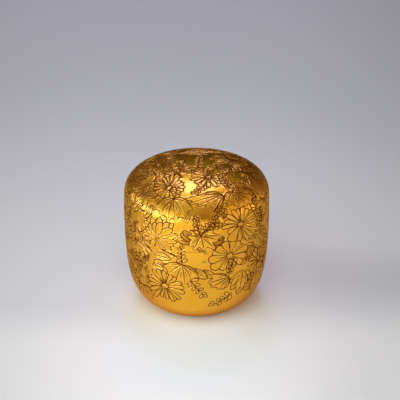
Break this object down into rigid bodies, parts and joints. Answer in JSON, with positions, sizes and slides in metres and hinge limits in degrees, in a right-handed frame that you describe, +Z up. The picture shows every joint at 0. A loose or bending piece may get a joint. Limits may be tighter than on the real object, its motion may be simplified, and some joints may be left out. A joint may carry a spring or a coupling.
{
  "type": "tea caddy",
  "caption": "Round lidded tea caddy of rounded barrel form, with an upright inner collar that a domed lid slides over, and a low foot ring.",
  "frame": {"origin": "centre of the foot, on the surface that the caddy stands on", "axes": "+Z up along the axis that the caddy is turned about; -Y is the front that the picture shows"},
  "size_m": [0.066, 0.066, 0.0672],
  "materials": {
    "gilt": "gilt and engraved, polished",
    "pewter": "bare pewter, fine turned"
  },
  "bodies": {
    "body": {"body_shell": "gilt", "mouth_collar": "pewter", "foot_ring": "gilt", "base_plate": "gilt"},
    "lid": {"lid_shell": "gilt", "lid_guide_ring": "pewter"}
  },
  "joints": [
    {"name": "lid_lift", "type": "slide", "parent": "body", "child": "lid", "axis": [0, 0, 1], "range_m": [0, 0.06]}
  ]
}
